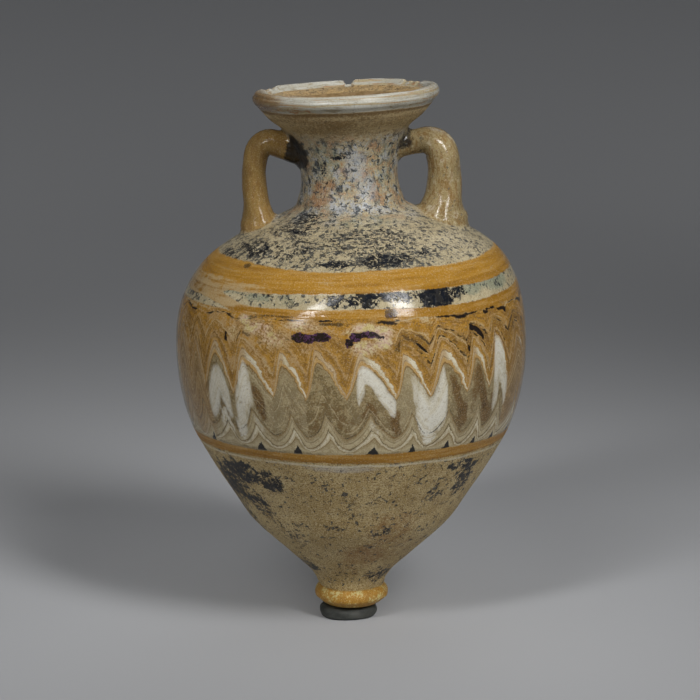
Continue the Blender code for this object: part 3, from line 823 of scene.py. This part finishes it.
def glassFinish():
    made = Finish("trailed_weathered_glass")
    place, skin = made.place("upright"), made.place("skin")
    split = made.node("ShaderNodeSeparateXYZ", {}, place)
    x, y, z = (Value(made, split.outputs[i]) for i in range(3))
    radius = (x * x + y * y) ** 0.5
    zones = {name: z.between(edges) for name, edges in paint["zones"].items()}
    upper, neck, low, zone = (zones[name] for name in ("upper", "neck", "low", "combed"))
    off = 1 - zone
    patch = {name: made.field(name) for name in list(patches) + list(fills)}
    cane, join, inside = made.field("cane"), made.field("join"), made.field("inside")

    # unevenness at several scales, streaks that run round, flakes, specks and curls
    cloud = made.noise(place, 0.11, 3.0)
    mottle = made.noise(place, 0.55, 4.0, 0.6)
    grain = made.noise(place, 2.6, 3.0, 0.6)
    lump, fleck = mottle - 0.5, grain - 0.5
    sandy = made.noise(place, 4.2, 2.0, 0.7)
    blotch = made.noise(made.moved(place, (7.0, 3.0, 1.0)), 0.34, 3.0, 0.6)
    streaks = made.noise(made.scaled(skin, (0.22, 0.22, 1.5)), 0.8, 3.0, 0.6, 0.3)
    longStreaks = made.noise(made.scaled(skin, (0.09, 0.09, 1.3)), 0.8, 4.0, 0.62, 0.2)
    flakes = made.noise(made.scaled(skin, (0.85, 0.85, 0.8)), 0.8, 5.0, 0.66, 0.5)
    specks = made.noise(made.scaled(skin, (0.95, 0.95, 0.75)), 1.25, 4.0, 0.62, 0.6)
    around = made.node("ShaderNodeCombineXYZ", {}, x * 0.06, y * 0.06, (radius * 0.8 - z) * 2.2).outputs[0]
    turned = made.noise(around, 1.0, 3.0, 0.62, 0.5)
    curls = made.noise(made.scaled(skin, (1.0, 1.0, 0.75)), 0.95, 2.0, 0.5, 0.8)

    # level: the height that the thread at this point had before the tool pulled it
    c = combing
    stroke = made.field("stroke") + lump * paint["wander"] + fleck * 0.03
    nearest = made.number("ROUND", stroke)
    valley = ((stroke - nearest).size() * 2).clamped()
    sagging = z.rise(*c["sag"])
    pointed = valley ** c["pointed"]
    rounded = 1 - (1 - valley) ** c["rounded"]
    pull = pointed + (rounded - pointed) * sagging
    chance = made.node("ShaderNodeTexWhiteNoise", {"noise_dimensions": "1D"}, W=nearest)
    tone = Value(made, chance.outputs["Value"])
    height = z + lump * 1.2 + fleck * 0.12 + (cloud - 0.5) * 1.2
    height = height + (tone - 0.5) * 1.1 * (1 - valley) * (1 - sagging)
    level = height
    for (over, deepOver), (under, deepUnder) in zip(c["pulled"], c["pulled"][1:]):
        steep = (deepUnder - deepOver) / (over - under)
        here = (height + pull * (deepOver + steep * over)) / (1 + pull * steep).atLeast(0.05)
        level = level + (here - level) * made.number("LESS_THAN", height, over - pull * deepOver)
    thread = level * paint["threadLines"] + nearest * 5.3
    fine = made.node("ShaderNodeCombineXYZ", {}, thread, mottle * 0.8, 0.0).outputs[0]
    lines = made.noise(fine, 1.0, 3.0, 0.7)

    # threads from the bottom of the combed zone to its top
    bottom, top = c["pulled"][-1][0] - 0.8, c["pulled"][0][0] + 1.0
    bands = [
        (38.0, "beigeDark"), (39.2, "beige"), (40.0, "sand"), (41.6, "fill"), (41.8, "umber"),
        (42.0, "sand"), (43.0, "cream"), (43.6, "beige"), (43.75, "umber"), (43.95, "beige"), (44.8, "sand"),
        (45.2, "beigeDark"), (45.4, "beige"), (46.1, "fill"), (46.4, "umber"), (46.65, "fill"),
        (54.9, "fill"), (55.4, "umber"), (55.6, "ochrePale"), (56.3, "ochrePale"), (56.55, "umber"),
        (56.75, "blush"), (57.5, "blush"), (57.75, "umber"), (57.95, "ochrePale"), (58.5, "gold"),
        (59.3, "olive"), (59.6, "blush"), (60.1, "gold"), (61.6, "olive"), (61.9, "ochrePale"),
        (62.4, "ochre"),
    ]
    share = ((level - bottom) / (top - bottom)).clamped()
    combed = made.ramp(share, [((h - bottom) / (top - bottom), colour) for h, colour in bands])
    slope = stroke - nearest
    thick = level.near(57.0, 0.85, 0.6) * (slope.rise(0.02, 0.12) * 0.8 + 0.2)
    thickTone = made.mix(mottle.rise(0.45, 0.65), "cream", "sand")
    combed = made.mix(thick * (lines + (tone - 0.5) * 0.5).rise(0.2, 0.5), combed, thickTone)
    heart = level.rise(46.4, 46.8) * level.rise(55.2, 54.8)
    fillTone = made.layered("fill", [
        ((mottle + fleck * 0.8 + z.rise(52.0, 46.0) * 0.06).rise(0.44, 0.60), "fillDark"),
        ((tone - 0.4).clamped() * 0.9, "beige"),
    ])
    combed = made.mix(heart, combed, fillTone)
    tanish = (patch["tan"] + lump * 0.5).rise(0.25, 0.7)
    tanTone = made.mix(lines.rise(0.4, 0.6), "tanDark", "tan")
    combed = made.mix(tanish * 0.7 * level.rise(41.0, 43.0), combed, tanTone)
    brownish = (patch["brown"] + lump * 0.9 + fleck * 0.7).rise(0.3, 0.8)
    brownTone = made.mix((grain + lump).rise(0.36, 0.6), "brownDark", "brown")
    combed = made.mix(brownish * heart, combed, brownTone)
    whitish = (patch["white"] + fleck * 0.5 + lump * 0.35).rise(0.42, 0.58)
    whiteTone = made.layered("cream", [
        (lines.rise(0.36, 0.62), "white"),
        (lines.rise(0.35, 0.28) * 0.5, "beige"),
        ((mottle + fleck * 0.8).rise(0.56, 0.72) * 0.4, "beige"),
    ])
    whitish = whitish * (patch["white"] * 1.3 - 0.4).clamped()
    combed = made.mix(whitish * level.rise(43.6, 44.1), combed, whiteTone)
    ochreZone = level.rise(57.8, 58.8)
    deepened = (mottle * 0.5 + lines * 0.5 + fleck * 0.25).rise(0.46, 0.58)
    dullTone = made.mix(blotch.rise(0.45, 0.55), "olive", "ochreDeep")
    combed = made.mix(ochreZone * deepened * 0.75, combed, dullTone)
    blushing = blotch * 0.5 + mottle * 0.2 + lines * 0.3 + fleck * 0.35 + patch["pearl"] * 0.2
    blushing = (blushing + x.rise(4.0, -18.0) * 0.02).rise(0.52, 0.59)
    combed = made.layered(combed, [
        (blushing * ochreZone * 0.7, "blush"),
        ((blotch + fleck * 1.4).rise(0.40, 0.33) * ochreZone * 0.6, "umber"),
    ])
    fineLines = lines + fleck * 0.4 + (streaks - 0.5) * 0.4
    combed = made.layered(combed, [
        (ochreZone * fineLines.rise(0.49, 0.37) * 0.55, "umber"),
        (ochreZone * fineLines.rise(0.56, 0.66) * 0.5, "ochrePale"),
        (lines.rise(0.44, 0.32) * 0.6 * (1 - whitish * 0.6), "umber"),
        (lines.rise(0.56, 0.66) * 0.5, "sand"),
        ((mottle + grain).rise(0.98, 1.14) * level.rise(47.5, 46.5) * 0.6, "fill"),
    ])
    scratches = (streaks * 0.4 + grain * 0.6).rise(0.60, 0.68) * level.rise(46.0, 50.0)
    combed = made.mix(scratches * 0.5, combed, "umber")
    arcs = level.near(61.0, 0.46, 0.1) * (tone + lump * 3.0).rise(0.8, 0.9) * valley.rise(0.8, 0.4)
    fineArcs = level.near(60.3, 0.24, 0.06).atLeast(level.near(61.9, 0.2, 0.05))
    fineArcs = fineArcs * x.rise(5.0, 15.0) * (streaks * 0.6 + mottle * 0.4).rise(0.47, 0.54)
    drawnArcs = (patch["black"] + fleck * 0.9 + lump * 0.5).rise(0.45, 0.58)
    arcs = (arcs * 0.6).atLeast(fineArcs * 0.9).atLeast(drawnArcs)
    broken = level.near(63.6, 0.24, 0.07) * (streaks + (cloud - 0.5)).rise(0.48, 0.56)
    wedges = (40.4 - z - valley * 6.0 + fleck).rise(0.0, 0.3) * z.rise(38.3, 38.7)
    wedges = wedges * (tone * 0.8 + mottle * 0.5).rise(0.5, 0.6)
    edges = level.near(46.7, 0.24, 0.06) * (mottle + grain).rise(0.85, 1.0)
    edges = edges.atLeast(level.near(43.7, 0.22, 0.05) * (mottle + grain).rise(0.9, 1.05))
    edges = edges * (0.45 + whitish * 0.3 + mottle.rise(0.5, 0.65) * 0.3)
    darkLines = arcs.atLeast(broken).atLeast(wedges).atLeast(edges)
    combed = made.mix(darkLines.clamped() * 0.95, combed, "blueBlack")

    # weathered skin above and below the combed zone
    paleTone = made.mix(low, "sand", "earthPale")
    midTone = made.mix(low, "beige", "earth")
    deepTone = made.mix(low, "beigeDark", "earthDark")
    weathered = made.layered(midTone, [
        (cloud.rise(0.35, 0.65), paleTone),
        (mottle.rise(0.5, 0.72) * 0.6, deepTone),
        (upper * (streaks + fleck * 0.5).rise(0.45, 0.6) * (0.2 + neck * 0.4), "grey"),
        (sandy.rise(0.50, 0.60) * (low * 0.6 + 0.2), deepTone),
        ((sandy * 0.6 + grain * 0.4).rise(0.56, 0.62) * low * 0.6, "brownDark"),
        (neck * (blotch + fleck * 0.5).rise(0.51, 0.61) * 0.75, "frost"),
        (neck * (blotch + fleck * 0.5).rise(0.47, 0.38) * 0.6, "rust"),
    ])
    smoky = (cloud * 0.4 + mottle * 0.6 + (specks - 0.5) * 0.4).rise(0.50, 0.60)
    weathered = made.layered(weathered, [
        (neck * (smoky + x.rise(2.0, -9.0) * 0.35).clamped() * 0.55, "slate"),
        ((grain * 0.6 + sandy * 0.4).rise(0.46, 0.34) * 0.5, "cream"),
        ((upper * 0.5 + neck * 0.5) * (flakes * 0.5 + specks * 0.5).rise(0.53, 0.62) * 0.6, "slate"),
    ])
    stained = (patch["stain"] + lump * 1.3 + fleck * 0.9).rise(0.3, 0.9)
    weathered = made.layered(weathered, [
        (stained * 0.75, made.mix(low, "rust", "russet")),
        ((patch["teal"] + lump * 0.8 + fleck * 0.5).rise(0.3, 0.9) * 0.65, "teal"),
        # frosted patches, which on the front and right of the neck also paint a soft bluish sheen
        ((patch["frost"] + lump * 0.5 + fleck * 0.5).rise(0.2, 1.0) * 0.6, "frost"),
    ])
    colour = made.mix(zone, weathered, combed)

    # dark glass shows where the skin has flaked off, in large flakes and in fine specks
    laidBare = patch["dark"]
    flake = ((flakes - 0.5) * 1.7 + (streaks - 0.5) * 0.5 + fleck * 0.6 + laidBare * 0.7).rise(0.37, 0.41)
    flake = flake * (1 - zones["shoulder"] * curls.near(0.5, 0.085, 0.10))
    flake = flake * (1 - low * specks.near(0.5, 0.10, 0.12))
    speck = (specks + laidBare * 0.12 + upper * 0.035 - neck * 0.035 - low * 0.02 - patch["frost"] * 0.06
             + lump * 0.3 + (blotch - 0.5) * (0.3 + neck * 0.3)).rise(0.585, 0.61)
    curl = curls.near(0.5, 0.030, 0.008) * (flakes + laidBare * 0.2 + upper * 0.05).rise(0.50, 0.56)
    speck = speck.atLeast(curl * (upper * 0.9 + laidBare * 0.5).atMost(1))
    colour = made.mix(speck * off * 0.85, colour, made.mix(grain.rise(0.4, 0.6), "night", "slate"))
    flake = (flake * off).clamped()
    colour = made.mix(flake * 0.96, colour, made.mix(mottle.rise(0.4, 0.7), "blueBlack", "night"))

    # yellow threads and knob
    yellow = (made.field("yellow") + lump * 0.6 + fleck * 0.3).rise(-0.10, 0.14)
    yellow = yellow.atLeast(zones["knob"])
    ochreTone = made.layered("ochreDeep", [
        ((longStreaks + z.rise(67.5, 70.0) * 0.15).rise(0.34, 0.72), "ochre"),
        ((longStreaks * 0.6 + streaks * 0.4 + fleck * 0.4).rise(0.50, 0.64) * 0.6, "ochrePale"),
    ])
    sandyEnd = (x * -1).rise(10.0, 22.0) * z.rise(70.8, 69.2) * z.rise(60.0, 66.0)
    sandyEnd = (sandyEnd * 0.5 + (longStreaks - 0.5) * 1.5 + lump).rise(0.25, 0.6)
    ochreTone = made.mix(sandyEnd * 0.5, ochreTone, "sand")
    knobTone = made.layered("ochre", [
        ((mottle + fleck * 0.8).rise(0.52, 0.68), "lemon"),
        ((grain + lump).rise(0.42, 0.32) * 0.6, "ochreDeep"),
    ])
    ochreTone = made.layered(ochreTone, [
        (z.rise(6.8, 6.4), knobTone),
        (specks.rise(0.66, 0.72) * 0.4, "umber"),
    ])
    colour = made.mix(yellow, colour, ochreTone)
    paleLine = (z - 36.2 + (cloud - 0.5) * 1.0).size().rise(0.34, 0.08) * (mottle + 0.1).rise(0.35, 0.6)
    colour = made.mix(paleLine * 0.6, colour, "cream")

    # rim: a white thread laid on the edge, brown inside and under
    ring = radius.rise(14.7, 15.2) * (z + (cloud - 0.5) * 0.8).rise(98.9, 99.2)
    ringTone = made.layered("beige", [
        (turned.rise(0.36, 0.52), "ring"),
        (turned.rise(0.50, 0.66) * 0.4, "white"),
        (turned.near(0.42, 0.025, 0.005) * 0.75, "rust"),
        (turned.near(0.55, 0.02, 0.004) * 0.7, "beigeDark"),
        ((mottle + grain).rise(1.05, 1.25) * 0.5, "beige"),
    ])
    leftEnd = (x * -1 - y * 0.25).rise(11.0, 19.0)
    leftEnd = (leftEnd * 0.8 + (turned - 0.5) * 1.2 + lump * 0.6).rise(0.25, 0.75)
    ringTone = made.mix(leftEnd * 0.9, ringTone, "tanDark")
    underRim = made.layered("underDark", [
        ((turned * 0.5 + grain * 0.5).rise(0.42, 0.56), "under"),
        (specks.rise(0.56, 0.66) * 0.6, "beigeDark"),
    ])
    funnel = radius.rise(15.2, 14.8) * zones["funnel"]
    underRim = made.layered(underRim, [
        (funnel * 0.62, made.mix((grain + lump).rise(0.42, 0.58), "brown", "tan")),
        (funnel * (specks + fleck * 0.4).rise(0.58, 0.62) * 0.85, "brownDark"),
        (z.rise(99.3, 98.9) * z.rise(98.2, 98.7) * radius.rise(14, 15) * 0.7, "umber"),
    ])
    colour = made.layered(colour, [
        ((z + lump * 3.5).rise(92.8, 96.0) * (1 - ring), underRim),
        (ring, ringTone),
    ])

    # handles, each of its own cane
    isRight = x.rise(-2.0, 2.0)
    drawn = made.noise(made.scaled(place, (1.5, 1.5, 0.35)), 0.9, 4.0, 0.65, 0.6)
    caneTone = made.layered("caneLeft", [
        (isRight, "caneRight"),
        (drawn.rise(0.48, 0.60) * 0.7, "tanDark"),
        (mottle.rise(0.45, 0.32) * 0.45, made.mix(isRight, "ochrePale", "cream")),
        ((grain + isRight * 0.05).rise(0.62, 0.68) * 0.7, "umber"),
        ((mottle + (specks - 0.5)).rise(0.66, 0.76) * isRight * 0.6, "slate"),
    ])
    colour = made.mix(cane, colour, caneTone)
    # darker where the canes meet the neck and where their feet land on the shoulder
    darkAtJoins = (join + lump * 0.7 + fleck * 0.6).rise(0.32, 0.72)
    colour = made.mix(darkAtJoins * 0.9, colour, "blueBlack")

    # grimy smears, a painted shadow line along the lower yellow thread left of the front, rainbow film and
    # violet-black spots
    smudge = (patch["smudge"] + lump * 0.6 + fleck * 1.1).rise(0.30, 0.62)
    colour = made.mix(smudge * 0.85, colour, "smearAndShadow")
    film = (patch["pearl"] + lump * 1.6 + fleck * 1.6 + (lines - 0.5) * 0.8).rise(0.30, 1.0)
    filmTone = made.layered("pink", [
        ((mottle + fleck * 0.6).rise(0.42, 0.58), "lemon"),
        ((grain + (lines - 0.5) * 0.5).rise(0.52, 0.62) * 0.6, "cream"),
    ])
    colour = made.mix(film * 0.72 * patch["pearl"].rise(0.15, 0.8), colour, filmTone)
    violet = (patch["violet"] + lump * 0.5 + fleck * 0.8).rise(0.42, 0.6)
    violetTone = made.mix((grain + lump).rise(0.48, 0.66), "blueBlack", "violet")
    colour = made.mix(violet * 0.95, colour, violetTone)
    quiet = 1 - flake.atLeast(darkLines * zone).atLeast(violet).atLeast(join).clamped()
    colour = made.layered(colour, [
        (sandy.rise(0.54, 0.66) * quiet * 0.32, "umber"),
        (sandy.rise(0.45, 0.33) * quiet * 0.26, "cream"),
        (inside, made.mix(mottle.rise(0.3, 0.7), "core", "brown")),
    ])
    made.feed(made.shader.inputs["Base Color"], colour)
    made.shader.inputs["Specular IOR Level"].default_value = paint["specular"]

    # gloss: bright in the combed zone and on the handles, less so on the rim and on bare glass, dull elsewhere
    glossy = zones["glossy"].atLeast(cane).atLeast(flake * 0.3).atLeast(ring * 0.7)
    glossy = glossy.atLeast(upper * 0.5).clamped()
    rough = 0.56 - glossy * 0.43 + lump * 0.2 + fleck * 0.12 + inside * 0.3
    made.feed(made.shader.inputs["Roughness"], rough.atLeast(0.09).atMost(1))
    pits = made.cracks(place, 1.1)
    dull = 1 - glossy
    coarse = ((sandy - 0.5) * 0.3 + fleck * 0.5 + pits.rise(0.0, 0.3) * 0.4) * dull * dull
    relief = coarse + lump * (dull * 0.5 + 0.12) - (flake + speck * off * 0.5) * 0.35
    made.bump(relief + yellow * 0.15 + lines * zone * 0.05, paint["bump"])
    return made.material


# the lump of putty

putty = {"thick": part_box("putty_pad")[1][2] / mm, "shift": -0.55, "around": 96, "uneven": 0.035}


def puttyMesh():
    p = putty
    turn = np.arange(p["around"]) * 2 * math.pi / p["around"]
    swell = 1 + p["uneven"] * (np.cos(2 * turn - 0.6) + 0.6 * np.cos(3 * turn + 1.1))
    tall = p["thick"]
    outline = [(1.0, 0.0), (2.2, 0.0), (3.4, 0.0), (4.3, 0.0), (4.75, 0.03), (5.05, 0.16), (5.25, 0.42),
               (5.36, 0.8), (5.40, 1.15), (5.36, 1.5), (5.25, 1.85), (5.02, 2.13), (4.7, 2.27), (4.2, tall),
               (3.0, tall), (1.6, tall)]
    points, faces = [np.array([[0, 0, 0]])], []
    for radius, height in outline:
        dent = 0.06 * np.sin(5 * turn + 2.3 * height) + 0.05 * np.sin(9 * turn - 1.2 * height + 1)
        dent = dent * ease(3.5, 5, radius) * ease(0.05, 0.6, height) * ease(tall, tall - 0.4, height)
        r = radius * swell + dent - 0.02
        level = np.full(len(turn), height)
        points.append(np.column_stack([p["shift"] + r * np.cos(turn), r * np.sin(turn), level]))
    points.append(np.array([[0, 0, tall]]))
    n, rings = p["around"], len(outline)
    faces += [(0, 1 + (j + 1) % n, 1 + j) for j in range(n)]
    for i in range(rings - 1):
        faces += [(1 + i * n + j, 1 + i * n + (j + 1) % n, 1 + (i + 1) * n + (j + 1) % n, 1 + (i + 1) * n + j)
                  for j in range(n)]
    last = 1 + (rings - 1) * n
    faces += [(last + j, last + (j + 1) % n, last + n) for j in range(n)]
    return meshObject("putty_lump", np.vstack(points) * mm, faces)


def puttyFinish():
    made = Finish("dark_putty")
    place = made.node("ShaderNodeTexCoord", {}).outputs["Object"]
    lumps, grain = made.noise(place, 600, 4.0), made.noise(place, 3500, 3.0)
    tone = made.mix(lumps.rise(0.35, 0.65), ink(46, 48, 44), ink(70, 71, 66))
    made.feed(made.shader.inputs["Base Color"], tone)
    made.feed(made.shader.inputs["Roughness"], (0.62 + (lumps - 0.5) * 0.3).clamped())
    made.bump(lumps + grain * 0.3, 0.0003, 0.6)
    return made.material


# studio: sweep, soft boxes, camera

studio = {
    "lens": 126.7, "distance": 0.47, "height": 10.5, "target": (-0.0002, 0, 0.0522),
    "floor": 3.6, "wallBack": 1.05, "curve": 0.5, "wallTall": 1.6,
    "room": (0.9, 0.93, 1.0), "roomStrength": 0.056,
}


def sweep():
    s = studio
    back, curve = s["wallBack"], s["curve"]
    side = [(-s["floor"], 0.0)]
    side += [(y, 0.0) for y in np.linspace(-s["floor"] * 0.5, back - curve, 8)]
    side += [(back - curve + curve * math.sin(a), curve - curve * math.cos(a))
             for a in np.linspace(0.1, math.pi / 2, 14)]
    side += [(back, s["wallTall"])]
    points, faces = [], []
    for x in (-s["floor"], s["floor"]):
        points += [(x, y, z) for y, z in side]
    n = len(side)
    faces = [(i, n + i, n + i + 1, i + 1) for i in range(n - 1)]
    floor = meshObject("studio_sweep", points, faces)
    made = Finish("grey_paper")
    made.shader.inputs["Base Color"].default_value = (*ink(176, 177, 179), 1)
    made.shader.inputs["Roughness"].default_value = 0.9
    floor.data.materials.append(made.material)


def softBox(name, bearing, elevation, distance, size, power, spread=90, target=(0, 0, 0.055), roll=0):
    # a rectangular light aimed at the target; bearing in degrees right of the camera, roll about its own axis
    lamp = bpy.data.lights.new(name, "AREA")
    lamp.shape = "RECTANGLE"
    lamp.size, lamp.size_y = size
    lamp.energy = power
    lamp.spread = math.radians(spread)
    obj = bpy.data.objects.new(name, lamp)
    bpy.context.scene.collection.objects.link(obj)
    a, e = math.radians(bearing), math.radians(elevation)
    away = np.array([math.sin(a) * math.cos(e), -math.cos(a) * math.cos(e), math.sin(e)])
    obj.location = np.array(target) + distance * away
    obj.rotation_euler = aim(-away, roll)
    obj.visible_camera = False
    return obj


def aim(direction, roll=0):
    turned = Vector(direction).to_track_quat("-Z", "Y") @ Quaternion((0, 0, 1), math.radians(roll))
    return turned.to_euler()


def camera():
    s = studio
    data = bpy.data.cameras.new("camera")
    data.lens = s["lens"]
    data.sensor_width = 36
    data.clip_start = 0.01
    obj = bpy.data.objects.new("camera", data)
    bpy.context.scene.collection.objects.link(obj)
    e = math.radians(s["height"])
    away = np.array([0, -math.cos(e), math.sin(e)])
    obj.location = np.array(s["target"]) + s["distance"] * away
    obj.rotation_euler = aim(-away)
    bpy.context.scene.camera = obj


def lights():
    softBox("box_right", 35, 38, 0.55, (0.12, 0.28), 0.18, 45)
    softBox("box_left", -29, 37, 0.55, (0.066, 0.38), 0.114, 45, roll=-34)
    softBox("box_top", 0, 82, 0.7, (0.6, 0.4), 0.033, 60)
    softBox("box_back", 165, 48, 0.75, (0.6, 0.5), 0.11, 60)
    softBox("box_wall", 0, 60, 0.6, (1.4, 0.3), 0.48, 90, (0, 0.68, 0.0))
    world = bpy.data.worlds.new("room")
    bpy.context.scene.world = world
    world.use_nodes = True
    room = world.node_tree.nodes["Background"].inputs
    room["Color"].default_value = (*studio["room"], 1)
    room["Strength"].default_value = studio["roomStrength"]


# building it all

def buildFlask():
    body = bodyMesh()
    canes = [caneMesh("cane_left", handles["left"]), caneMesh("cane_right", handles["right"])]
    print("glass turned and canes drawn", len(body.data.polygons))
    points = fuse(body, canes)
    print("canes fused", len(body.data.polygons))
    paintFields(body, points)
    body.data.vertices.foreach_set("co", (leaned(points) * mm).ravel())
    body.data.update()
    body.data.shade_smooth()
    body.data.materials.clear()
    body.data.materials.append(glassFinish())
    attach(body, "root")
    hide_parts("flask")
    print("flask dressed")


def buildPutty():
    lump = puttyMesh()
    lump.data.materials.append(puttyFinish())
    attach(lump, "root")
    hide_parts("putty_pad")
    print("putty dressed")


bpy.context.scene.view_settings.view_transform = "Standard"
buildFlask()
buildPutty()
sweep()
lights()
camera()
print("studio set")
